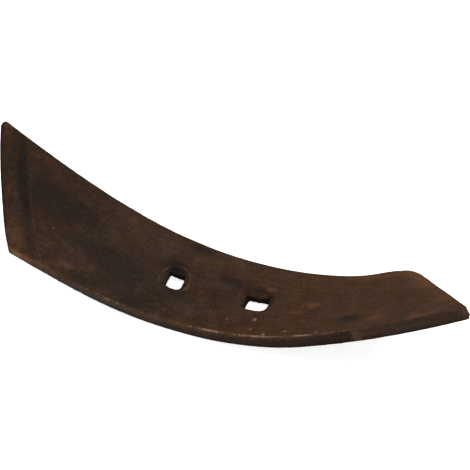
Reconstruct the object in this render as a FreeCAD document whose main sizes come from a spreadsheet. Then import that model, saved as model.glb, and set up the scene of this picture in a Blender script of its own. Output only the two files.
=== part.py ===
import FreeCAD, Part
import Sketcher
import math
import os

# Reversible cultivator point: a flat bar cut as a parallelogram, bent round an axis that runs skew
# across it, drawn out thinner at both ends and punched for two plough bolts.
#
# The blade is one forged steel piece. It lies on its convex side, with its hollow side up, and the
# bar runs along X at the bolt holes. "Along" and "across" below are the directions of the flat bar
# before bending; "wrap" is the distance travelled round the bend and "axial" the distance along its
# axis. The left end is the tightly bent one, and the far edge is the one towards +Y.

V = FreeCAD.Vector

NODE = "cultivator_point"

SIZES = {
    # the flat bar
    "bar_length": 388.0,          # middle of one end edge to the middle of the other
    "bar_width": 81.0,
    "bar_thickness": 10.0,
    "left_skew": 41.0,            # degrees between an end edge and square across the bar
    "right_skew": 42.5,
    # the bend, as three arcs that run on into each other, measured at mid-thickness
    "bend_skew": 28.5,            # degrees between the bend's axis and square across the bar
    "tight_radius": 138.0,
    "middle_radius": 188.0,
    "open_radius": 620.0,
    "tight_start": 23.0,          # wrap distance from the bar's centre to the tight arc
    "open_start": 101.0,          # wrap distance from the bar's centre to the open arc
    # the drawn-out ends
    "left_tip": 5.5,              # thickness left at the end edge
    "left_bevel": 17.0,           # length of the bevel on the hollow face
    "right_tip": 8.5,
    "right_bevel": 13.0,
    "bevel_hollow": 60.0,         # radius of the slightly hollow bevels
    "end_spread": 4.5,            # how far the far edge stands out at the open end's corner
    "tip_break": 0.9,
    "corner_radius": 4.0,
    # the long edges, broken by the forging dies
    "upper_break": 1.3,
    "lower_break": 0.8,
    # bolt holes for M12 plough bolts
    "hole_spacing": 70.0,
    "hole_shift": 1.0,            # middle of the two holes, along the bar from its centre
    "square_side": 12.5,
    "square_corner": 1.5,
    "slot_length": 19.0,
    "sink_diameter": 24.0,
    "sink_angle": 115.0,
}

ARC_STATIONS = 5                  # sections along each of the three arcs of the bend
END_STATIONS = 5                  # sections along each end edge
MEET_ANGLE = 12.0                 # degrees at which a corner's rounding meets the edges beside it
SINK_LIFT = 3.0                   # how far above the hollow face a countersink's cone starts
SINK_FLOOR = 0.9                  # the cone stops at this share of the square hole's half width
CUT_REACH = 30.0                  # how far cutting shapes reach past the steel
CUT_WIDTHS = 1.6                  # how many bar widths an end's cutting shape reaches outward
BEVEL_RUN = 1.4                   # a bevel's arc runs on past the hollow face to this many lengths
SPREAD_START = 0.4                # share of the spread at the open arc's first section
SPREAD_STEP = 0.9                 # share that each section after it adds


def make_sheet(doc):
    """Put the driving sizes into a spreadsheet, one named cell each."""
    sheet = doc.addObject("Spreadsheet::Sheet", "Sizes")
    for row, (name, value) in enumerate(SIZES.items(), start=1):
        sheet.set(f"A{row}", name)
        sheet.set(f"B{row}", str(value))
        sheet.setAlias(f"B{row}", name)
    doc.recompute()
    return sheet


def bent_frame(wrap, axial, turn, lift="0"):
    """Expression for a frame on the bar's middle surface, at a wrap and an axial distance.

    Its rotation is the bend's slope there, after the given turn inside the unbent frame. Lift
    moves it off the middle surface, towards the hollow side.
    """
    middle = f"min(max({wrap}; 0 - Sizes.tight_start); Sizes.open_start)"
    side = f"({wrap} < 0 ? Sizes.tight_radius : Sizes.open_radius)"
    inner = f"({middle} / Sizes.middle_radius * 180 / pi)"
    slope = f"({inner} + ({wrap} - {middle}) / {side} * 180 / pi)"
    forward = f"Sizes.middle_radius * sin({inner}) + {side} * (sin({slope}) - sin({inner}))"
    upward = f"Sizes.middle_radius * (1 - cos({inner})) + {side} * (cos({inner}) - cos({slope}))"
    base = f"vector({forward}; {axial}; {upward})"
    return (f"placement({base}; rotation(vector(0; 1; 0); 0 - {slope}))"
            f" * placement(vector(0; 0; {lift}); {turn})")


def bar_frame(along, across, lift="0", turn="0"):
    """A frame at a place on the flat bar: X along the bar, Y across it, Z towards the hollow side.

    The turn, in degrees, is about Z.
    """
    wrap = f"({along} * cos(Sizes.bend_skew) - {across} * sin(Sizes.bend_skew))"
    axial = f"({along} * sin(Sizes.bend_skew) + {across} * cos(Sizes.bend_skew))"
    return bent_frame(wrap, axial, f"rotation(vector(0; 0; 1); Sizes.bend_skew + {turn})", lift)


def origin_plane(body, role):
    for feature in body.Origin.OriginFeatures:
        if feature.Role == role:
            return feature
    raise ValueError(role)


def framed_sketch(body, name, frame):
    """Add a sketch to the body whose plane is the given frame expression."""
    sketch = body.newObject("Sketcher::SketchObject", name)
    sketch.AttachmentSupport = [(origin_plane(body, "XY_Plane"), "")]
    sketch.MapMode = "FlatFace"
    sketch.setExpression("AttachmentOffset", frame)
    return sketch


def drive(sketch, constraint, expression):
    """Add a constraint and bind its value to the sheet."""
    index = sketch.addConstraint(constraint)
    sketch.setExpression(f"Constraints[{index}]", expression)


def pin(sketch, item, point, x_expression, y_expression):
    """Hold one end of a line or arc at a place given by two expressions, from where it is drawn."""
    place = sketch.getPoint(item, point)
    drive(sketch, Sketcher.Constraint("DistanceX", -1, 1, item, point, place.x), x_expression)
    drive(sketch, Sketcher.Constraint("DistanceY", -1, 1, item, point, place.y), y_expression)


def close_loop(sketch, items, kind="Coincident"):
    """Join a list of lines and arcs end to start."""
    for current, following in zip(items, items[1:] + items[:1]):
        sketch.addConstraint(Sketcher.Constraint(kind, current, 2, following, 1))


def pin_chain(sketch, lines, places):
    """Hold the starts of a chain of lines at places given as ((x, expression), (y, expression))."""
    for line, ((_, x_expression), (_, y_expression)) in zip(lines, places):
        pin(sketch, line, 1, x_expression, y_expression)


def draw_bar_section(sketch, spread):
    """The bar cut along the bend's axis. Its far edge stands out by a share of the end's spread."""
    wide = SIZES["bar_width"] / 2 / math.cos(math.radians(SIZES["bend_skew"]))
    half = "Sizes.bar_width / 2 / cos(Sizes.bend_skew)"
    far = (wide + SIZES["end_spread"] * spread, f"({half} + Sizes.end_spread * {spread})")
    near = (-wide, f"(0 - {half})")
    top = (SIZES["bar_thickness"] / 2, "Sizes.bar_thickness / 2")
    low = (-SIZES["bar_thickness"] / 2, "(0 - Sizes.bar_thickness / 2)")
    places = []
    for (x, x_name), (y, y_name), name in ((far, top, "upper_break"), (near, top, "upper_break"),
                                           (near, low, "lower_break"), (far, low, "lower_break")):
        side, level = math.copysign(1, x), math.copysign(1, y)
        beside = (x, x_name), (y - level * SIZES[name], f"{y_name} - {level} * Sizes.{name}")
        above = (x - side * SIZES[name], f"{x_name} - {side} * Sizes.{name}"), (y, y_name)
        places += [beside, above] if side * level > 0 else [above, beside]
    corners = [V(x, y, 0) for (x, _), (y, _) in places]
    lines = [sketch.addGeometry(Part.LineSegment(start, end))
             for start, end in zip(corners, corners[1:] + corners[:1])]
    close_loop(sketch, lines)
    pin_chain(sketch, lines, places)


def bend_bar(body):
    """Loft the bar through sections that lie along the bend's axis, over the three arcs."""
    reach = ("((Sizes.bar_length / 2 + Sizes.bar_width / 2 * tan(max(Sizes.left_skew; Sizes.right_skew)))"
             " * cos(Sizes.bend_skew) + Sizes.bar_width / 2 * sin(Sizes.bend_skew)"
             " + Sizes.bar_thickness)")
    limits = [f"(0 - {reach})", "(0 - Sizes.tight_start)", "Sizes.open_start", reach]
    wraps = [limits[0]]
    for start, end in zip(limits, limits[1:]):
        for step in range(1, ARC_STATIONS + 1):
            wraps.append(f"({start} + ({end} - {start}) * {step} / {ARC_STATIONS})")
    sections = []
    for number, wrap in enumerate(wraps):
        frame = bent_frame(wrap, f"{wrap} * tan(Sizes.bend_skew)", "rotation(vector(1; 1; 1); 120)")
        sketch = framed_sketch(body, f"bar_section_{number}", frame)
        beyond = number - 2 * ARC_STATIONS
        draw_bar_section(sketch, SPREAD_START + SPREAD_STEP * beyond if beyond >= 0 else 0)
        sections.append(sketch)
    loft = body.newObject("PartDesign::AdditiveLoft", "bent_bar")
    loft.Profile = sections[0]
    loft.Sections = sections[1:]


def draw_end_cutter(sketch, end_name):
    """What is cut away outside an end edge, above its bevel and off its rims.

    The sketch's origin is on the end edge at mid-thickness, with X pointing out of the bar and Y
    towards the hollow side. The bevel is an arc from the tip that passes through the point where it
    meets the hollow face, and runs on above that face.
    """
    half = SIZES["bar_thickness"] / 2
    tip, tip_name = SIZES[f"{end_name}_tip"] - half, f"Sizes.{end_name}_tip"
    length, length_name = SIZES[f"{end_name}_bevel"], f"Sizes.{end_name}_bevel"
    radius = SIZES["bevel_hollow"]
    chord = math.hypot(length, half - tip)
    lift = math.sqrt(radius ** 2 - (chord / 2) ** 2)
    centre = V(-length / 2 + lift * (half - tip) / chord, (tip + half) / 2 + lift * length / chord, 0)
    starts = [math.atan2(-math.sqrt(radius ** 2 - (x - centre.x) ** 2), x - centre.x)
              for x in (-BEVEL_RUN * length, -SIZES["tip_break"])]
    bevel = sketch.addGeometry(Part.ArcOfCircle(Part.Circle(centre, V(0, 0, 1), radius), *starts))
    drive(sketch, Sketcher.Constraint("Radius", bevel, radius), "Sizes.bevel_hollow")
    for x, y, x_expression, y_expression in (
            (-length, half, f"0 - {length_name}", "Sizes.bar_thickness / 2"),
            (0, tip, "0", f"{tip_name} - Sizes.bar_thickness / 2")):
        point = sketch.addGeometry(Part.Point(V(x, y, 0)), True)
        pin(sketch, point, 1, x_expression, y_expression)
        sketch.addConstraint(Sketcher.Constraint("PointOnObject", point, 1, bevel))
    ends = [sketch.getPoint(bevel, 1), sketch.getPoint(bevel, 2)]
    drive(sketch, Sketcher.Constraint("DistanceX", -1, 1, bevel, 1, ends[0].x),
          f"0 - {length_name} * {BEVEL_RUN}")
    drive(sketch, Sketcher.Constraint("DistanceX", -1, 1, bevel, 2, ends[1].x), "0 - Sizes.tip_break")
    rim = (SIZES["tip_break"], "Sizes.tip_break")
    low = (-half - CUT_REACH / 2, f"0 - Sizes.bar_thickness / 2 - {CUT_REACH / 2}")
    outer = (CUT_WIDTHS * SIZES["bar_width"], f"Sizes.bar_width * {CUT_WIDTHS}")
    places = [
        ((0, "0"), (tip - rim[0], f"{tip_name} - Sizes.bar_thickness / 2 - Sizes.tip_break")),
        ((0, "0"), (rim[0] - half, "Sizes.tip_break - Sizes.bar_thickness / 2")),
        ((-rim[0], "0 - Sizes.tip_break"), (-half, "0 - Sizes.bar_thickness / 2")),
        ((-rim[0] - CUT_REACH / 2, f"0 - Sizes.tip_break - {CUT_REACH / 2}"), low),
        (outer, low),
        (outer, (CUT_REACH, f"{CUT_REACH}")),
        ((-BEVEL_RUN * length, f"0 - {length_name} * {BEVEL_RUN}"), (CUT_REACH, f"{CUT_REACH}"))]
    corners = [ends[1]] + [V(x, y, 0) for (x, _), (y, _) in places] + [ends[0]]
    sides = [sketch.addGeometry(Part.LineSegment(start, end))
             for start, end in zip(corners, corners[1:])]
    close_loop(sketch, [bevel] + sides)
    pin_chain(sketch, sides[1:], places)


def cut_end(body, end_name, side):
    """Cut one end of the bar (side -1 or 1) along its skew edge, which follows the bend."""
    lean = f"(Sizes.{end_name}_skew + Sizes.bend_skew)"
    half_edge = f"(Sizes.bar_width / 2 / cos(Sizes.{end_name}_skew) + Sizes.bar_thickness * 3)"
    out_turn = 0 if side > 0 else 180
    turn = f"rotation(vector(0; 0; 1); {lean} + {out_turn}) * rotation(vector(1; 0; 0); 90)"
    sections = []
    for number in range(END_STATIONS):
        share = 2 * number / (END_STATIONS - 1) - 1
        along = f"({half_edge} * {share})"
        wrap = f"(Sizes.bar_length / 2 * cos(Sizes.bend_skew) * {side} - {along} * sin{lean})"
        axial = f"(Sizes.bar_length / 2 * sin(Sizes.bend_skew) * {side} + {along} * cos{lean})"
        sketch = framed_sketch(body, f"{end_name}_end_section_{number}", bent_frame(wrap, axial, turn))
        draw_end_cutter(sketch, end_name)
        sections.append(sketch)
    loft = body.newObject("PartDesign::SubtractiveLoft", f"{end_name}_end")
    loft.Profile = sections[0]
    loft.Sections = sections[1:]


def clip_corner(body, end_name, end, edge):
    """Round a corner of the bar, at one end (-1 or 1) and one edge (-1 near or 1 far).

    The sketch's X axis points out of the corner and halves it. The cut's arc starts and ends on the
    two edges, and meets each at a small angle.
    """
    name = f"{end_name}_{'far' if edge > 0 else 'near'}_corner"
    skew = f"Sizes.{end_name}_skew"
    along = f"(Sizes.bar_length / 2 * {end} - Sizes.bar_width / 2 * {edge} * tan({skew}))"
    half_corner = f"(45 + {skew} / 2 * {end * edge})"
    turn = f"{half_corner} * {edge}" if end > 0 else f"180 - {half_corner} * {edge}"
    sketch = framed_sketch(body, f"{name}_profile",
                           bar_frame(along, f"(Sizes.bar_width / 2 * {edge})", turn=f"({turn})"))
    half_angle = math.radians(45 + SIZES[f"{end_name}_skew"] / 2 * end * edge)
    half_arc = math.pi / 2 - half_angle - math.radians(MEET_ANGLE)
    radius = SIZES["corner_radius"]
    wide = radius * math.sin(half_arc)
    back = wide / math.tan(half_angle)
    wide_name = f"Sizes.corner_radius * sin(90 - {half_corner} - {MEET_ANGLE})"
    back_name = f"{wide_name} / tan({half_corner})"
    centre = V(-back - radius * math.cos(half_arc), 0, 0)
    arc = sketch.addGeometry(Part.ArcOfCircle(Part.Circle(centre, V(0, 0, 1), radius),
                                              -half_arc, half_arc))
    corners = [V(-back, wide, 0), V(CUT_REACH, wide, 0), V(CUT_REACH, -wide, 0), V(-back, -wide, 0)]
    upper, outer, lower = [sketch.addGeometry(Part.LineSegment(start, finish))
                           for start, finish in zip(corners, corners[1:])]
    close_loop(sketch, [arc, upper, outer, lower])
    drive(sketch, Sketcher.Constraint("Radius", arc, radius), "Sizes.corner_radius")
    pin(sketch, arc, 2, f"0 - {back_name}", wide_name)
    pin(sketch, arc, 1, f"0 - {back_name}", f"0 - {wide_name}")
    pin(sketch, outer, 1, f"{CUT_REACH}", wide_name)
    pin(sketch, outer, 2, f"{CUT_REACH}", f"0 - {wide_name}")
    cut = body.newObject("PartDesign::Pocket", name)
    cut.Profile = sketch
    cut.Midplane = True
    cut.setExpression("Length", "Sizes.bar_thickness * 4")


def hole_frame(side, lift="0"):
    """A frame at one of the two bolt holes, on the bar's middle line."""
    return bar_frame(f"(Sizes.hole_shift + Sizes.hole_spacing / 2 * {side})", "0", lift)


def draw_punch(sketch, length_name):
    """A rectangle with small round corners, centred on the hole, as long as the named size."""
    long, wide = SIZES[length_name] / 2, SIZES["square_side"] / 2
    radius = SIZES["square_corner"]
    arcs = []
    for number, (x, y) in enumerate(((1, 1), (-1, 1), (-1, -1), (1, -1))):
        circle = Part.Circle(V(x * (long - radius), y * (wide - radius), 0), V(0, 0, 1), radius)
        start = number * math.pi / 2
        arcs.append(sketch.addGeometry(Part.ArcOfCircle(circle, start, start + math.pi / 2)))
    lines = [sketch.addGeometry(Part.LineSegment(sketch.getPoint(arc, 2), sketch.getPoint(following, 1)))
             for arc, following in zip(arcs, arcs[1:] + arcs[:1])]
    close_loop(sketch, [item for pair in zip(arcs, lines) for item in pair], "Tangent")
    upper, left, lower, right = lines
    for line, kind in zip(lines, ["Horizontal", "Vertical", "Horizontal", "Vertical"]):
        sketch.addConstraint(Sketcher.Constraint(kind, line))
    for arc in arcs[1:]:
        sketch.addConstraint(Sketcher.Constraint("Equal", arcs[0], arc))
    drive(sketch, Sketcher.Constraint("Radius", arcs[0], radius), "Sizes.square_corner")
    drive(sketch, Sketcher.Constraint("DistanceX", -1, 1, right, 1, long), f"Sizes.{length_name} / 2")
    drive(sketch, Sketcher.Constraint("DistanceX", left, 1, -1, 1, long), f"Sizes.{length_name} / 2")
    drive(sketch, Sketcher.Constraint("DistanceY", -1, 1, upper, 1, wide), "Sizes.square_side / 2")
    drive(sketch, Sketcher.Constraint("DistanceY", lower, 1, -1, 1, wide), "Sizes.square_side / 2")


def sink_radius():
    """The countersink's radius where it starts, a little above the hollow face."""
    return f"(Sizes.sink_diameter / 2 + {SINK_LIFT} * tan(Sizes.sink_angle / 2))"


def draw_round_sink(sketch):
    radius = SIZES["sink_diameter"] / 2
    circle = sketch.addGeometry(Part.Circle(V(0, 0, 0), V(0, 0, 1), radius))
    sketch.addConstraint(Sketcher.Constraint("Coincident", circle, 3, -1, 1))
    drive(sketch, Sketcher.Constraint("Radius", circle, radius), sink_radius())


def draw_long_sink(sketch):
    """Two half circles joined by lines, as far apart as the slot is longer than it is wide."""
    radius = SIZES["sink_diameter"] / 2
    shift = (SIZES["slot_length"] - SIZES["square_side"]) / 2
    right = sketch.addGeometry(Part.ArcOfCircle(
        Part.Circle(V(shift, 0, 0), V(0, 0, 1), radius), -math.pi / 2, math.pi / 2))
    upper = sketch.addGeometry(Part.LineSegment(V(shift, radius, 0), V(-shift, radius, 0)))
    left = sketch.addGeometry(Part.ArcOfCircle(
        Part.Circle(V(-shift, 0, 0), V(0, 0, 1), radius), math.pi / 2, 3 * math.pi / 2))
    lower = sketch.addGeometry(Part.LineSegment(V(-shift, -radius, 0), V(shift, -radius, 0)))
    close_loop(sketch, [right, upper, left, lower], "Tangent")
    sketch.addConstraint(Sketcher.Constraint("Horizontal", upper))
    sketch.addConstraint(Sketcher.Constraint("Symmetric", right, 3, left, 3, -1, 1))
    drive(sketch, Sketcher.Constraint("Radius", right, radius), sink_radius())
    drive(sketch, Sketcher.Constraint("DistanceX", left, 3, right, 3, 2 * shift),
          "Sizes.slot_length - Sizes.square_side")


def punch_hole(body, name, side, length_name, draw_sink):
    """Cut a bolt hole through the bar, and sink it on the hollow side for the bolt's cone head."""
    profile = framed_sketch(body, f"{name}_profile", hole_frame(side))
    draw_punch(profile, length_name)
    hole = body.newObject("PartDesign::Pocket", name)
    hole.Profile = profile
    hole.Midplane = True
    hole.setExpression("Length", "Sizes.bar_thickness * 4")
    rim = framed_sketch(body, f"{name}_sink_profile",
                        hole_frame(side, f"(Sizes.bar_thickness / 2 + {SINK_LIFT})"))
    draw_sink(rim)
    sink = body.newObject("PartDesign::Pocket", f"{name}_sink")
    sink.Profile = rim
    sink.setExpression("Length", f"({sink_radius()} - Sizes.square_side / 2 * {SINK_FLOOR})"
                                 " / tan(Sizes.sink_angle / 2)")
    sink.setExpression("TaperAngle", "0 - Sizes.sink_angle / 2")


def lay_down(body):
    """Turn the blade so that it rests on its convex side, with its centre of mass over the line of
    contact, and the bar along X. The origin goes to the middle of its box, on the floor."""
    centre = body.Shape.CenterOfGravity
    lean = math.degrees(math.atan2(centre.x, SIZES["middle_radius"] - centre.z))
    level = FreeCAD.Rotation(V(0, 1, 0), lean)
    along = FreeCAD.Rotation(V(0, 0, 1), -SIZES["bend_skew"])
    body.Placement = FreeCAD.Placement(V(0, 0, 0), along * level)
    box = body.Shape.optimalBoundingBox(False, False)
    body.Placement.Base = V(-box.Center.x, -box.Center.y, -box.ZMin)


def check(doc, body):
    """Stop if any object failed to build or the blade isn't one valid solid."""
    failed = [item.Name for item in doc.Objects if "Invalid" in item.State or "Error" in item.State]
    if failed:
        raise RuntimeError(f"these objects failed: {failed}")
    if body.Shape.isNull() or not body.Shape.isValid() or len(body.Shape.Solids) != 1:
        raise RuntimeError("the blade isn't one valid solid")


def build_blade(doc):
    """The blade, in the order a forge makes it: bend the bar, shape its ends and punch it."""
    blade = doc.addObject("PartDesign::Body", NODE)
    blade.Label = NODE
    bend_bar(blade)
    for end, end_name in ((-1, "left"), (1, "right")):
        cut_end(blade, end_name, end)
        for edge in (-1, 1):
            clip_corner(blade, end_name, end, edge)
    punch_hole(blade, "square_hole", -1, "square_side", draw_round_sink)
    punch_hole(blade, "slot", 1, "slot_length", draw_long_sink)
    doc.recompute()
    lay_down(blade)
    return blade


def main():
    doc = FreeCAD.newDocument("CultivatorPoint")
    make_sheet(doc)
    blade = build_blade(doc)
    check(doc, blade)
    os.makedirs("parts", exist_ok=True)
    blade.Shape.exportStep(f"parts/{NODE}.step")
    print(f"{NODE}: {blade.Shape.Volume / 1000:.1f} cm3, {len(blade.Shape.Faces)} faces")


main()
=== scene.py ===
import bmesh
import bpy
import math
from mathutils import Euler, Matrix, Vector, noise


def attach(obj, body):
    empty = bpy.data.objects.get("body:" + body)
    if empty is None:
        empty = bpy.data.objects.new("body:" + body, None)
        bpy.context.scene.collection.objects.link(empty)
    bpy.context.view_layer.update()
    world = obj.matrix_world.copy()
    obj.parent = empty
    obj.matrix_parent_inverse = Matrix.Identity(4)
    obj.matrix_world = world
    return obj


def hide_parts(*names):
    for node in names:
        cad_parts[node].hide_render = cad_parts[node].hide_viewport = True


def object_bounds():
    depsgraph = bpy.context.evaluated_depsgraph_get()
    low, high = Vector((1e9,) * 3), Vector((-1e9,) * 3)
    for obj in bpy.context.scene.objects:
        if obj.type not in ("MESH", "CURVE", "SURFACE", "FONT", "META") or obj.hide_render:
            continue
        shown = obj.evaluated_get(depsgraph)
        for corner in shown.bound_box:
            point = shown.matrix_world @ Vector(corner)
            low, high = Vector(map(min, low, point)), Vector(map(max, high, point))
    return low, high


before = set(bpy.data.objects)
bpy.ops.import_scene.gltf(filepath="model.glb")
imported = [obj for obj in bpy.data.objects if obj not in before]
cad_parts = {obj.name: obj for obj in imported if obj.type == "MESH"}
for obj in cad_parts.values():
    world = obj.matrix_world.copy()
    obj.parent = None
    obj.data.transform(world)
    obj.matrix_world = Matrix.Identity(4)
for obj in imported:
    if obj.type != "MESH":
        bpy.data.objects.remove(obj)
cad_low, cad_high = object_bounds()

# The blade: one flat bar of steel, cut to a parallelogram, drawn out thinner at both ends, bent hot
# round an axis that runs skew across it, and punched for two plough bolts. It is left as it came
# from the forge, so its edges are soft and its faces a little uneven.
BAR_HALF_LENGTH = 0.194
BAR_HALF_WIDTH = 0.0405
BAR_HALF_THICKNESS = 0.005
END_SKEW = math.radians(41.0)
BEND_SKEW = math.radians(28.5)
TIGHT_RADIUS, MIDDLE_RADIUS, OPEN_RADIUS = 0.138, 0.188, 0.620
TIGHT_START, OPEN_START = -0.023, 0.101
REST_PLACE = Vector((-0.0210284, -0.0000943, 0.0050539))
REST_TILT = math.radians(1.44718)
REST_TURN = Euler((0, REST_TILT, -BEND_SKEW), "XYZ").to_matrix()


def flat_place(point):
    """Where a point of the blade lay on the flat bar: along it, across it and above its middle, and
    how steeply the bar slopes there."""
    local = REST_TURN.inverted() @ (point - REST_PLACE)
    slope = math.atan2(local.x, MIDDLE_RADIUS - local.z)
    start, radius = 0.0, MIDDLE_RADIUS
    if slope * MIDDLE_RADIUS < TIGHT_START:
        start, radius = TIGHT_START, TIGHT_RADIUS
    elif slope * MIDDLE_RADIUS > OPEN_START:
        start, radius = OPEN_START, OPEN_RADIUS
    turned = start / MIDDLE_RADIUS
    centre_x = (MIDDLE_RADIUS - radius) * math.sin(turned)
    centre_z = MIDDLE_RADIUS - (MIDDLE_RADIUS - radius) * math.cos(turned)
    slope = math.atan2(local.x - centre_x, centre_z - local.z)
    wrap = start + (slope - turned) * radius
    height = radius - math.hypot(local.x - centre_x, local.z - centre_z)
    along = wrap * math.cos(BEND_SKEW) + local.y * math.sin(BEND_SKEW)
    across = local.y * math.cos(BEND_SKEW) - wrap * math.sin(BEND_SKEW)
    return along, across, height, slope


# Its skin starts as the solid's own mesh, cut into small squares and smoothed.
CUT_SPACING = 0.004
MERGE_GAP, CUT_GAP = 0.00001, 0.00002
SMOOTH_LEVELS = 1
cut_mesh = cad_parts["cultivator_point"].data.copy()
cut_shape = bmesh.new()
cut_shape.from_mesh(cut_mesh)
bmesh.ops.remove_doubles(cut_shape, verts=cut_shape.verts, dist=MERGE_GAP)
for axis in (0, 1):
    width = cad_high[axis] - cad_low[axis]
    cuts = round(width / CUT_SPACING)
    for number in range(1, cuts):
        place, facing = Vector(), Vector()
        place[axis] = cad_low[axis] + width * number / cuts
        facing[axis] = 1
        whole = cut_shape.verts[:] + cut_shape.edges[:] + cut_shape.faces[:]
        bmesh.ops.bisect_plane(cut_shape, geom=whole, dist=CUT_GAP, plane_co=place, plane_no=facing)
cut_shape.to_mesh(cut_mesh)
cut_shape.free()
cut_blade = bpy.data.objects.new("cut_blade", cut_mesh)
bpy.context.collection.objects.link(cut_blade)
smoothing = cut_blade.modifiers.new("smoothing", "SUBSURF")
smoothing.levels = smoothing.render_levels = SMOOTH_LEVELS
smooth_mesh = bpy.data.meshes.new_from_object(
    cut_blade.evaluated_get(bpy.context.evaluated_depsgraph_get()))
bpy.data.objects.remove(cut_blade)
blade = bpy.data.objects.new("forged_blade", smooth_mesh)
bpy.context.collection.objects.link(blade)

# Where forging and weather left their marks, as soft patches, with some painted shade and one
# painted glint among them. Each is a place along and across the bar, with a half length, a half
# width and a strength.
RUST_AND_GLINT_PATCHES = [(-0.119, -0.0285, 0.010, 0.006, 0.8), (-0.139, -0.034, 0.014, 0.004, 0.4),
                (-0.087, 0.032, 0.008, 0.006, 0.7), (-0.056, 0.027, 0.010, 0.008, 0.6),
                # The first patch on the next line, at the rim of the slot's sink, is a painted
                # glint.
                (0.045, 0.0145, 0.005, 0.003, 1.2), (0.062, 0.005, 0.008, 0.006, 0.5),
                (0.086, 0.001, 0.008, 0.005, 1.2), (0.076, -0.008, 0.010, 0.004, 0.7),
                (0.151, -0.0255, 0.012, 0.007, 0.9), (0.196, -0.036, 0.012, 0.0024, 1.4),
                (0.129, 0.036, 0.045, 0.007, 0.9), (0.168, 0.017, 0.020, 0.016, 0.6),
                (0.198, -0.014, 0.010, 0.008, 0.6), (-0.164, -0.028, 0.014, 0.012, 0.7),
                (-0.187, 0.004, 0.005, 0.030, 0.25), (0.139, -0.0405, 0.005, 0.002, 0.8),
                (-0.022, -0.003, 0.003, 0.007, 0.8), (-0.140, -0.0385, 0.040, 0.0025, 0.6),
                (-0.158, -0.0400, 0.012, 0.0030, 0.9), (-0.185, 0.035, 0.030, 0.006, 0.5)]
RUST_LIMIT = 1.3
SCALE_AND_SHADE_PATCHES = [(-0.055, -0.020, 0.045, 0.020, 0.50), (-0.020, 0.000, 0.050, 0.022, 0.42),
                 (-0.006, -0.031, 0.022, 0.004, 0.3), (-0.122, -0.007, 0.022, 0.008, 0.6),
                 (-0.080, 0.012, 0.022, 0.014, 0.5), (0.006, -0.004, 0.016, 0.012, 0.5),
                 (-0.157, 0.012, 0.024, 0.014, 1.0), (-0.122, 0.0145, 0.016, 0.010, 0.7),
                 (-0.105, -0.033, 0.014, 0.006, 1.0), (-0.0935, -0.0085, 0.020, 0.012, 0.9),
                 (-0.056, -0.034, 0.014, 0.006, 0.4), (0.125, -0.0215, 0.016, 0.006, 0.9),
                 (0.0096, 0.0147, 0.012, 0.004, 0.5), (-0.027, 0.034, 0.012, 0.006, 0.6),
                 # Both patches on the next line are painted shade on the far side of the bolt
                 # holes' sinks.
                 (-0.036, 0.012, 0.010, 0.006, 1.0), (0.036, 0.012, 0.014, 0.003, 0.5)]
# These patches are painted shade in the sinks of the bolt holes, drawn near-black.
SHADE_PATCHES = [(-0.038, 0.0105, 0.006, 0.0045, 1.0), (0.047, 0.0070, 0.004, 0.0020, 0.7),
                (0.026, 0.0070, 0.004, 0.0030, 0.7)]
PATCH_SHADE = 0.8


def bell(value, middle, reach):
    """A soft hump: 1 at its middle, and nearly nothing at twice its reach to either side."""
    return math.exp(-((value - middle) / reach) ** 2)


def patch_strength(patches, along, across):
    """How strongly a list of soft patches covers a place on the bar, from 0 to 1."""
    total = 0.0
    for along_middle, across_middle, half_length, half_width, strength in patches:
        covered = bell(along, along_middle, half_length) * bell(across, across_middle, half_width)
        total += strength * covered
    return min(total, 1.0)


# Each bevel has a length, a drop at its end and a hollow half way.
LEFT_BEVEL, RIGHT_BEVEL = (0.017, 0.0045, 0.00065), (0.013, 0.0015, 0.00036)


def top_height(along, from_end):
    """How high the top lies above the bar's middle, down over the bevel at each end."""
    length, drop, hollow = LEFT_BEVEL if along < 0 else RIGHT_BEVEL
    up_bevel = min(max(from_end, 0.0) / length, 1.0)
    return BAR_HALF_THICKNESS - drop * (1 - up_bevel) - 4 * hollow * up_bevel * (1 - up_bevel)


# A side is a place across the bar, from -1 at its near edge to 1 at its far edge. Rust runs along
# both ends, with a strength at the middle and how much that grows to the far edge.
END_RUST_PLACE, END_RUST_REACH = 0.0035, 0.0055
LEFT_END_RUST, RIGHT_END_RUST = (0.32, 0.24), (0.58, 0.35)


def end_rust(along, side, from_end):
    """How rusty a place is for lying near one of the bar's ends."""
    strength, growth = LEFT_END_RUST if along < 0 else RIGHT_END_RUST
    return (strength + growth * side) * bell(from_end, END_RUST_PLACE, END_RUST_REACH)


# A band of painted shade lies in the hollow near the top of the left bevel, strongest a little past
# the bar's middle.
BAND_PLACE, BAND_REACH = 0.0150, 0.0035
BAND_SIDE, BAND_SIDE_REACH, BAND_LEAST = 0.3, 0.55, 0.35
BAND_SHADE = 0.25


def shade_band(along, side, from_end):
    """How strongly the band of painted shade in the left bevel covers a place."""
    if along >= 0:
        return 0.0
    across_band = BAND_LEAST + (1 - BAND_LEAST) * bell(side, BAND_SIDE, BAND_SIDE_REACH)
    return bell(from_end, BAND_PLACE, BAND_REACH) * across_band


# The bolt holes are places along the bar, with a half length that takes in their walls.
SQUARE_PLACE, SLOT_PLACE = -0.034, 0.036
BOLT_HOLES = [(SQUARE_PLACE, 0.0065), (SLOT_PLACE, 0.0098)]
HOLE_HALF_WIDTH = 0.0065


def in_bolt_hole(along, across):
    """Whether a place on the bar lies inside one of the bolt holes."""
    past_hole = min(abs(along - place) - half_length for place, half_length in BOLT_HOLES)
    return max(past_hole, abs(across) - HOLE_HALF_WIDTH) < 0


# Drawing out the ends spread their edges a little, most at the crown of each. At the right the far
# corner was spread a little more.
SPREAD_REACH, SPREAD_FADE = 0.025, 1.5
LEFT_SPREAD, LEFT_LEAST = 0.0015, 0.2
LEFT_CROWN, LEFT_CROWN_REACH = -0.75, 0.45
RIGHT_SPREAD, RIGHT_CROWN = 0.0021, 0.42
CORNER_SPREAD, CORNER_SIDE, CORNER_SIDE_REACH = 0.4, 0.95, 0.15


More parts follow.
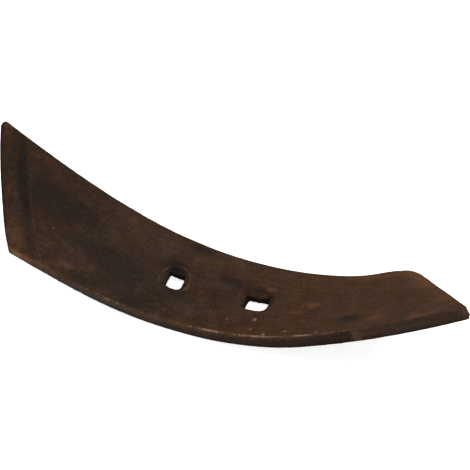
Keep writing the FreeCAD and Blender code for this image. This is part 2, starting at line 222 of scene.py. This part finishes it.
def end_spread(along, side, from_end):
    """How far an end's edge was spread square to itself, which is less than nothing at the left."""
    if along < 0:
        spread = -LEFT_SPREAD * (LEFT_LEAST + bell(side, LEFT_CROWN, LEFT_CROWN_REACH))
    else:
        arch = max(0.0, 1 - ((side - RIGHT_CROWN) / (1 + RIGHT_CROWN)) ** 2)
        corner = CORNER_SPREAD * bell(side, CORNER_SIDE, CORNER_SIDE_REACH)
        spread = RIGHT_SPREAD * (arch + corner)
    return spread * max(0.0, 1 - max(from_end, 0.0) / SPREAD_REACH) ** SPREAD_FADE


# The far edge was spread too, a little before its right corner, and the corner came out rounder. A
# higher fade keeps a change nearer the edge.
FAR_SPREAD, FAR_SPREAD_PLACE, FAR_SPREAD_REACH = 0.0018, 0.131, 0.015
CORNER_DROP, CORNER_PLACE, CORNER_REACH = 0.0042, 0.163, 0.010
FAR_SPREAD_FADE, CORNER_FADE = 4, 10


def far_spread(along, side):
    """How far the far edge was spread across the bar, less what its rounder corner lacks."""
    far_side = max(0.0, side)
    wider = FAR_SPREAD * bell(along, FAR_SPREAD_PLACE, FAR_SPREAD_REACH)
    rounder = CORNER_DROP * bell(along, CORNER_PLACE, CORNER_REACH)
    return wider * far_side ** FAR_SPREAD_FADE - rounder * far_side ** CORNER_FADE


# Pits are places on the blade with a radius and a depth. A plain pit is pale, and a ring pit has a
# faint pale ring and rust round it. The skin is cut finer round each.
PITS = [((0.0005, -0.0233, 0.0117), 0.0011, 0.0001), ((0.0221, -0.0197, 0.0150), 0.0012, 0.0004),
        ((0.0229, -0.0305, 0.0165), 0.0009, 0.0002), ((0.0354, -0.0347, 0.0206), 0.0011, 0.0004),
        ((0.0515, -0.0301, 0.0253), 0.0012, 0.0002), ((0.0773, -0.0326, 0.0378), 0.0011, 0.0002),
        ((-0.1468, -0.0160, 0.0562), 0.0009, 0.0001)]
PIT_PALE_DEPTH = 0.0005
RING_PITS = [((0.1463, -0.0236, 0.0747), 0.0050, 0.0002),
             ((0.1098, -0.0360, 0.0494), 0.0030, 0.0008)]
RING_PALE_DEPTH = 0.0080
RING_PLACE, RING_REACH = 0.9, 0.35
RING_RUST, RING_RUST_REACH = 0.8, 1.1
PIT_LIMIT = 2
FINE_MARGIN, FINE_CUTS = 0.0016, 3
# Stretches where the near edge's painted highlight is strongest are places along the bar, with a
# half length and a strength.
NEAR_HIGHLIGHT_STRETCHES = [(-0.155, 0.008, 0.70), (-0.075, 0.040, 0.60), (-0.0024, 0.0025, 0.90),
             (0.015, 0.015, 1.00), (0.055, 0.034, 0.86), (0.093, 0.010, 1.10),
             (0.120, 0.030, 0.60)]
# Rolling left shallow waves and hammering left smaller dents, with so many lumps to the metre.
WAVE_DEPTH, WAVE_LUMPS = 0.00028, (30, 45, 60)
DENT_DEPTH, DENT_LUMPS = 0.00012, 160


def edge_middle(edge):
    """The place half way along an edge."""
    return (edge.verts[0].co + edge.verts[1].co) / 2


# Every point of the skin gets its marks, and is moved to where the forge left it, but not out of
# the solid's box.
fine_shape = bmesh.new()
fine_shape.from_mesh(smooth_mesh)
for middle, radius, deep in PITS + RING_PITS:
    near = [edge for edge in fine_shape.edges
            if (edge_middle(edge) - Vector(middle)).length < radius + FINE_MARGIN]
    bmesh.ops.subdivide_edges(fine_shape, edges=near, cuts=FINE_CUTS, use_grid_fill=True)
fine_shape.to_mesh(smooth_mesh)
fine_shape.free()
smooth_mesh.attributes.new("flat", "FLOAT_VECTOR", "POINT")
MARK_NAMES = ("highlight_strength", "flecks", "rust", "scale_and_shade", "painted_shade", "below_top")
for name in MARK_NAMES:
    smooth_mesh.attributes.new(name, "FLOAT", "POINT")
flat = smooth_mesh.attributes["flat"]
marks = [smooth_mesh.attributes[name] for name in MARK_NAMES]
highlight_strength, flecks, rust, scale_and_shade, painted_shade, below_top = marks
outward = [vertex.normal.copy() for vertex in smooth_mesh.vertices]
for number, vertex in enumerate(smooth_mesh.vertices):
    along, across, height, slope = flat_place(vertex.co)
    side = across / BAR_HALF_WIDTH
    skewed = along + across * math.tan(END_SKEW)
    from_end = (BAR_HALF_LENGTH - abs(skewed)) * math.cos(END_SKEW)
    wave_place = [part * lumps for part, lumps in zip((along, across, height), WAVE_LUMPS)]
    wave = noise.noise(Vector(wave_place))
    dent = noise.noise(vertex.co * DENT_LUMPS)
    depth = WAVE_DEPTH * (0.5 + 0.5 * wave) + DENT_DEPTH * (0.5 + 0.5 * dent)
    rusty = patch_strength(RUST_AND_GLINT_PATCHES, along, across) + end_rust(along, side, from_end)
    fleck = 0.0
    for middle, radius, deep in PITS:
        far = (vertex.co - Vector(middle)).length / radius
        if far < PIT_LIMIT:
            depth += deep * bell(far, 0, 1)
            fleck = max(fleck, deep / PIT_PALE_DEPTH * bell(far, 0, 1))
    for middle, radius, deep in RING_PITS:
        far = (vertex.co - Vector(middle)).length / radius
        if far < PIT_LIMIT:
            depth += deep * math.exp(-far ** 4)
            fleck = max(fleck, deep / RING_PALE_DEPTH * bell(far, RING_PLACE, RING_REACH))
            rusty += RING_RUST * bell(far, 0, RING_RUST_REACH)
    band = shade_band(along, side, from_end)
    flat.data[number].vector = (along, across, height)
    below_top.data[number].value = top_height(along, from_end) - height
    highlight_strength.data[number].value = max(strength * bell(along, middle, half_length)
                                     for middle, half_length, strength in NEAR_HIGHLIGHT_STRETCHES)
    flecks.data[number].value = fleck
    rust.data[number].value = min(rusty, RUST_LIMIT)
    # This mark holds the scale patches and the painted shade of the left bevel's band.
    scale_and_shade.data[number].value = min(1.0, patch_strength(SCALE_AND_SHADE_PATCHES, along, across) + band)
    # The hole walls, the bevel band and the shade patches get painted shade.
    painted_shade.data[number].value = max(1.0 if in_bolt_hole(along, across) else 0.0, BAND_SHADE * band,
                                  PATCH_SHADE * patch_strength(SHADE_PATCHES, along, across))
    longer, wider = end_spread(along, side, from_end), far_spread(along, side)
    round_bend = longer * math.cos(END_SKEW + BEND_SKEW) - wider * math.sin(BEND_SKEW)
    along_bend = longer * math.sin(END_SKEW + BEND_SKEW) + wider * math.cos(BEND_SKEW)
    moved = Vector((round_bend * math.cos(slope), along_bend, round_bend * math.sin(slope)))
    place = vertex.co + REST_TURN @ moved - outward[number] * depth
    vertex.co = [min(max(place[axis], cad_low[axis]), cad_high[axis]) for axis in range(3)]
smooth_mesh.shade_smooth()

# Its surface: blue-black mill scale where the forge left it, brown where damp has got through and
# orange rust in patches, with painted highlights along the edges and painted shade in the holes.
# The colour of mill scale, also used for painted shade above the holes and in the left bevel's
# hollow.
SCALE_AND_SHADE_COLOUR = (0.0250, 0.0170, 0.0136, 1)
BROWN_DARK = (0.0370, 0.0220, 0.0148, 1)
BROWN_LIGHT = (0.0600, 0.0310, 0.0172, 1)
RUST_COLOUR = (0.1050, 0.0490, 0.0250, 1)
# The pale colour of the painted highlights on the edges.
HIGHLIGHT_COLOUR = (0.2600, 0.1500, 0.1000, 1)
FLECK_COLOUR = (0.3400, 0.2100, 0.1500, 1)
# The near-black of the painted shade in the holes and their sinks.
SHADE_COLOUR = (0.0100, 0.0080, 0.0070, 1)
steel = bpy.data.materials.new("forged_steel")
steel.use_nodes = True
steel_nodes, steel_links = steel.node_tree.nodes, steel.node_tree.links
steel_surface = steel_nodes["Principled BSDF"]
steel_surface.inputs["Metallic"].default_value = 0.10
steel_surface.inputs["Specular IOR Level"].default_value = 0.0
object_place = steel_nodes.new("ShaderNodeTexCoord").outputs["Object"]


def cloud(size, detail, roughness=0.6, seed=0.0, place=object_place):
    """Noise whose lumps are about as large as the size, in metres."""
    texture = steel_nodes.new("ShaderNodeTexNoise")
    texture.noise_dimensions = "4D"
    texture.inputs["W"].default_value = seed
    texture.inputs["Scale"].default_value = 1 / size
    texture.inputs["Detail"].default_value = detail
    texture.inputs["Roughness"].default_value = roughness
    steel_links.new(place, texture.inputs["Vector"])
    return texture.outputs["Fac"]


def between(value, low, high, least=0.0, most=1.0):
    """A value brought from low..high to least..most, and held there."""
    ramp = steel_nodes.new("ShaderNodeMapRange")
    ramp.interpolation_type = "SMOOTHSTEP"
    for name, number in (("From Min", low), ("From Max", high), ("To Min", least),
                         ("To Max", most)):
        ramp.inputs[name].default_value = number
    steel_links.new(value, ramp.inputs["Value"])
    return ramp.outputs["Result"]


def combine(operation, first, second=None):
    """One or two values put through a maths operation. The second may be a plain number."""
    maths = steel_nodes.new("ShaderNodeMath")
    maths.operation = operation
    steel_links.new(first, maths.inputs[0])
    if isinstance(second, (int, float)):
        maths.inputs[1].default_value = second
    elif second is not None:
        steel_links.new(second, maths.inputs[1])
    return maths.outputs["Value"]


def plus(first, second):
    """Two values added."""
    return combine("ADD", first, second)


def times(first, second):
    """Two values multiplied."""
    return combine("MULTIPLY", first, second)


def larger(first, second):
    """The larger of two values."""
    return combine("MAXIMUM", first, second)


def distance(value, place=0.0):
    """How far a value lies from a place, to either side."""
    return combine("ABSOLUTE", combine("SUBTRACT", value, place))


def cover(under, over, mask):
    """One colour laid over another where the mask is. Each may be a plain colour."""
    mix = steel_nodes.new("ShaderNodeMix")
    mix.data_type = "RGBA"
    steel_links.new(mask, mix.inputs["Factor"])
    for colour, name in ((under, "A"), (over, "B")):
        socket = next(item for item in mix.inputs if item.name == name and item.type == "RGBA")
        if isinstance(colour, tuple):
            socket.default_value = colour
        else:
            steel_links.new(colour, socket)
    return next(item for item in mix.outputs if item.type == "RGBA")


def mark(name, output="Fac"):
    """A value or a place that the mesh holds at each of its points."""
    attribute = steel_nodes.new("ShaderNodeAttribute")
    attribute.attribute_name = name
    return attribute.outputs[output]


def tint(colour, hue=None, saturation=None, brightness=None):
    """A colour with its hue, its saturation or its brightness turned up and down."""
    node = steel_nodes.new("ShaderNodeHueSaturation")
    for name, source in (("Color", colour), ("Hue", hue), ("Saturation", saturation),
                         ("Value", brightness)):
        if source is not None:
            steel_links.new(source, node.inputs[name])
    return node.outputs["Color"]


# Each finish starts and is whole at two levels of its cloud. The brown is warmer to the right, and
# the colour drifts a little in hue, strength and brightness, in fine streaks along the rolling.
BROWN_LEVELS, SCALE_LEVELS = (0.45, 0.90), (0.62, 1.00)
RUST_LEVELS, SPECK_LEVELS, SPECK_MOST = (0.60, 1.15), (0.66, 0.74), 0.4
SCALE_MARK_SHARE, RUST_MARK_SHARE, RUST_CLOUD_SHARE, BROWN_GRAIN_SHARE = 0.55, 0.55, 0.9, 0.25
WARM_PLACES, WARM_RANGE = (-0.12, 0.12), (-0.10, 0.18)
DRIFT_LEVELS, GRAIN_LEVELS = (0.32, 0.68), (0.35, 0.65)
HUE_RANGE, STRENGTH_RANGE = (0.486, 0.510), (0.84, 1.16)
GRAIN_RANGE, STREAK_RANGE = (0.82, 1.18), (0.90, 1.10)
ROLLING_STRETCH = (0.15, 1, 1)
flat_place_mark = mark("flat", "Vector")
flat_split = steel_nodes.new("ShaderNodeSeparateXYZ")
steel_links.new(flat_place_mark, flat_split.inputs["Vector"])
along_bar, across_bar, above_middle = flat_split.outputs
drawn_out = steel_nodes.new("ShaderNodeMapping")
drawn_out.inputs["Scale"].default_value = ROLLING_STRETCH
steel_links.new(flat_place_mark, drawn_out.inputs["Vector"])
mottle = cloud(0.016, detail=7)
grain = cloud(0.0021, detail=5, roughness=0.7)
blotch = cloud(0.045, detail=3)
streak = cloud(0.0024, detail=4, place=drawn_out.outputs["Vector"])
hue_cloud = cloud(0.018, detail=8, roughness=0.75, seed=3.0)
strength_cloud = cloud(0.014, detail=8, roughness=0.75, seed=7.0)
rust_cloud = cloud(0.005, detail=7, roughness=0.7)
speck_cloud = cloud(0.0012, detail=2)
warm = between(along_bar, *WARM_PLACES, *WARM_RANGE)
browned = between(plus(plus(mottle, warm), times(grain, BROWN_GRAIN_SHARE)), *BROWN_LEVELS)
scaled_and_shaded = between(plus(times(mark("scale_and_shade"), SCALE_MARK_SHARE), blotch), *SCALE_LEVELS)
rusted = between(plus(times(mark("rust"), RUST_MARK_SHARE), times(rust_cloud, RUST_CLOUD_SHARE)),
                 *RUST_LEVELS)
speckled = between(speck_cloud, *SPECK_LEVELS, most=SPECK_MOST)
colour = cover(BROWN_DARK, BROWN_LIGHT, browned)
colour = cover(colour, SCALE_AND_SHADE_COLOUR, scaled_and_shaded)
colour = tint(colour, hue=between(hue_cloud, *DRIFT_LEVELS, *HUE_RANGE),
              saturation=between(strength_cloud, *DRIFT_LEVELS, *STRENGTH_RANGE),
              brightness=times(between(grain, *GRAIN_LEVELS, *GRAIN_RANGE),
                               between(streak, *GRAIN_LEVELS, *STREAK_RANGE)))
colour = cover(colour, RUST_COLOUR, larger(rusted, speckled))

# The same surface near its edges, with painted light and shade: the sheared sides are painted paler
# at the left and in shade from the middle on, the underside gets painted shade, and a soft painted
# highlight band follows the near edge's rounding.
SIDE_START = (-0.0008, -0.0003)
SIDE_DARKENS, SIDE_PALES = (-0.10, 0.07), (0.10, 0.15)
LEFT_SIDE_TONE, MIDDLE_SIDE_TONE, RIGHT_SIDE_TONE = 1.40, 0.62, 0.88
SIDE_STRENGTH = 0.80
UNDERSIDE_START, UNDERSIDE_SHADE = (0.0005, -0.0046), 0.60
NEAR_BAND_WIDTH, NEAR_BAND_END, NEAR_HIGHLIGHT_TONE = (0.0010, 0.0042), (0.14, 0.09), 1.40
NEAR_HALF = (0.0, -0.02)
from_side = combine("SUBTRACT", distance(across_bar), BAR_HALF_WIDTH)
on_side = between(from_side, *SIDE_START)
left_tone = between(along_bar, *SIDE_DARKENS, LEFT_SIDE_TONE, MIDDLE_SIDE_TONE)
right_tone = between(along_bar, *SIDE_PALES, 0.0, RIGHT_SIDE_TONE)
painted_side_light_and_shade = plus(times(combine("SUBTRACT", larger(left_tone, right_tone), 1.0), on_side), 1.0)
painted_underside_shade = between(above_middle, *UNDERSIDE_START, 1.0, UNDERSIDE_SHADE)
colour = tint(colour, saturation=between(on_side, 0.0, 1.0, 1.0, SIDE_STRENGTH),
              brightness=times(painted_side_light_and_shade, painted_underside_shade))
from_top = distance(mark("below_top"))
from_edge = larger(distance(from_side), from_top)
near_stretch = times(between(along_bar, *NEAR_BAND_END), between(across_bar, *NEAR_HALF))
near_highlight_band = times(between(from_edge, *NEAR_BAND_WIDTH, 1.0, 0.0), near_stretch)
colour = tint(colour, brightness=between(near_highlight_band, 0.0, 1.0, 1.0, NEAR_HIGHLIGHT_TONE))

# Painted highlights: the near edge's rounding gets a thin broken painted highlight, and so, a
# little, do the rim of the square hole's sink and the line where the left bevel starts. Pits are
# pale, and the holes get painted shade. Each width is where the highlight starts to fade and where
# it has gone.
NEAR_LINE, NEAR_LINE_WIDTH, NEAR_LINE_LEVELS = -0.0387, (0.0004, 0.0012), (0.78, 1.18)
HIGHLIGHT_STRENGTH_SHARE = 0.6
BEVEL_LINE, BEVEL_LINE_WIDTH, BEVEL_LINE_LEVELS = -0.1269, (0.0001, 0.0013), (0.40, 0.70)
BEVEL_LINE_HIGHLIGHT = 0.11
RIM_RADIUS, RIM_WIDTH, RIM_LEVELS = 0.0123, (0.0002, 0.0012), (0.45, 0.80)
RIM_GROWTH_ACROSS, RIM_GROWTH_ALONG, RIM_HIGHLIGHT = 9, 14, 0.20
TOP_HEIGHTS = (0.003, 0.004)
from_line = larger(distance(across_bar, NEAR_LINE), from_top)
line_breaks = plus(times(mark("highlight_strength"), HIGHLIGHT_STRENGTH_SHARE), cloud(0.0030, detail=4, seed=5.0))
near_line = times(between(from_line, *NEAR_LINE_WIDTH, 1.0, 0.0),
                  between(line_breaks, *NEAR_LINE_LEVELS))
bevel_place = plus(times(across_bar, math.sin(END_SKEW)), times(along_bar, math.cos(END_SKEW)))
bevel_breaks = cloud(0.005, detail=3, roughness=0.7, seed=11.0)
from_bevel = distance(bevel_place, BEVEL_LINE)
bevel_line = times(between(from_bevel, *BEVEL_LINE_WIDTH, BEVEL_LINE_HIGHLIGHT, 0.0),
                   between(bevel_breaks, *BEVEL_LINE_LEVELS))
square_gap = combine("SUBTRACT", along_bar, SQUARE_PLACE)
square_far = combine("SQRT", plus(times(square_gap, square_gap), times(across_bar, across_bar)))
rim_growth = plus(times(across_bar, RIM_GROWTH_ACROSS),
                  times(distance(square_gap), RIM_GROWTH_ALONG))
rim_breaks = plus(rim_growth, cloud(0.006, detail=3, seed=9.0))
rim = times(between(distance(square_far, RIM_RADIUS), *RIM_WIDTH, RIM_HIGHLIGHT, 0.0),
            between(rim_breaks, *RIM_LEVELS))
painted_highlights = larger(larger(near_line, bevel_line), times(rim, between(above_middle, *TOP_HEIGHTS)))
colour = cover(colour, HIGHLIGHT_COLOUR, painted_highlights)
colour = cover(colour, FLECK_COLOUR, mark("flecks"))
colour = cover(colour, SHADE_COLOUR, mark("painted_shade"))
steel_links.new(colour, steel_surface.inputs["Base Color"])

# Its feel: matt all over, rougher where it has rusted and a little smoother along the painted
# highlights, with a fine relief.
ROUGH_LEVELS, ROUGH_RANGE, HIGHLIGHT_SMOOTHER = (0.3, 1.2), (0.50, 0.80), 0.15
RELIEF_STRENGTH, RELIEF_DEPTH, MOTTLE_RELIEF = 0.5, 0.0004, 1.5
matt = between(plus(grain, rusted), *ROUGH_LEVELS, *ROUGH_RANGE)
roughness = combine("SUBTRACT", matt, times(painted_highlights, HIGHLIGHT_SMOOTHER))
steel_links.new(roughness, steel_surface.inputs["Roughness"])
relief = steel_nodes.new("ShaderNodeBump")
relief.inputs["Strength"].default_value = RELIEF_STRENGTH
relief.inputs["Distance"].default_value = RELIEF_DEPTH
steel_links.new(plus(times(mottle, MOTTLE_RELIEF), grain), relief.inputs["Height"])
steel_links.new(relief.outputs["Normal"], steel_surface.inputs["Normal"])
smooth_mesh.materials.clear()
smooth_mesh.materials.append(steel)
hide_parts("cultivator_point")
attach(blade, "root")

# The floor: a plain white flat sheet. The camera and shiny surfaces see it white, and it keeps
# the blade's shadow.
FLOOR_GLOW = 0.80
FLOOR_HALF_WIDTH = 6
PAPER_COLOUR = (0.8, 0.8, 0.8, 1)
floor_mesh = bpy.data.meshes.new("floor")
floor_shape = bmesh.new()
bmesh.ops.create_grid(floor_shape, x_segments=1, y_segments=1, size=FLOOR_HALF_WIDTH)
floor_shape.to_mesh(floor_mesh)
floor_shape.free()
floor = bpy.data.objects.new("floor", floor_mesh)
bpy.context.collection.objects.link(floor)
paper = bpy.data.materials.new("white_paper")
paper.use_nodes = True
paper_nodes, paper_links = paper.node_tree.nodes, paper.node_tree.links
paper_surface = paper_nodes["Principled BSDF"]
paper_surface.inputs["Base Color"].default_value = PAPER_COLOUR
paper_surface.inputs["Roughness"].default_value = 0.9
paper_surface.inputs["Specular IOR Level"].default_value = 0.0
paper_surface.inputs["Emission Color"].default_value = (1, 1, 1, 1)
rays = paper_nodes.new("ShaderNodeLightPath")
seen = paper_nodes.new("ShaderNodeMath")
seen.operation = "MAXIMUM"
paper_links.new(rays.outputs["Is Camera Ray"], seen.inputs[0])
mirrored = paper_nodes.new("ShaderNodeMath")
mirrored.operation = "MAXIMUM"
paper_links.new(rays.outputs["Is Glossy Ray"], mirrored.inputs[0])
paper_links.new(rays.outputs["Is Transmission Ray"], mirrored.inputs[1])
paper_links.new(mirrored.outputs["Value"], seen.inputs[1])
glow = paper_nodes.new("ShaderNodeMath")
glow.operation = "MULTIPLY"
glow.inputs[1].default_value = FLOOR_GLOW
paper_links.new(seen.outputs["Value"], glow.inputs[0])
paper_links.new(glow.outputs["Value"], paper_surface.inputs["Emission Strength"])
floor_mesh.materials.append(paper)

# The light: an even white sky, which the camera sees as plain white, and one soft lamp above and to
# the right.
SKY_LIGHT = 0.55
LAMP_WIDTH, LAMP_POWER = 1.4, 21
LAMP_PLACE = Vector((0.60, 0.15, 1.55))
sky = bpy.data.worlds.new("sky")
sky.use_nodes = True
sky_nodes, sky_links = sky.node_tree.nodes, sky.node_tree.links
sky_nodes["Background"].inputs["Color"].default_value = (1, 1, 1, 1)
sky_rays = sky_nodes.new("ShaderNodeLightPath")
sky_level = sky_nodes.new("ShaderNodeMapRange")
sky_level.inputs["To Min"].default_value = SKY_LIGHT
sky_level.inputs["To Max"].default_value = 1.0
sky_links.new(sky_rays.outputs["Is Camera Ray"], sky_level.inputs["Value"])
sky_links.new(sky_level.outputs["Result"], sky_nodes["Background"].inputs["Strength"])
bpy.context.scene.world = sky
lamp_data = bpy.data.lights.new("lamp", "AREA")
lamp_data.shape = "DISK"
lamp_data.size = LAMP_WIDTH
lamp_data.energy = LAMP_POWER
lamp = bpy.data.objects.new("lamp", lamp_data)
lamp.location = LAMP_PLACE
lamp.rotation_euler = (-LAMP_PLACE).to_track_quat("-Z", "Y").to_euler()
bpy.context.collection.objects.link(lamp)

# The camera: where the photographer stood, with a long lens.
SENSOR_WIDTH, LENS_LENGTH = 36.0, 91.9
CAMERA_PLACE = (0.282297, -0.540792, 0.723266)
CAMERA_TURN = (math.radians(43.359), math.radians(4.379), math.radians(22.663))
camera_data = bpy.data.cameras.new("camera")
camera_data.sensor_width = SENSOR_WIDTH
camera_data.lens = LENS_LENGTH
camera = bpy.data.objects.new("camera", camera_data)
camera.location = CAMERA_PLACE
camera.rotation_euler = CAMERA_TURN
bpy.context.collection.objects.link(camera)
bpy.context.scene.camera = camera
bpy.context.scene.view_settings.view_transform = "Standard"
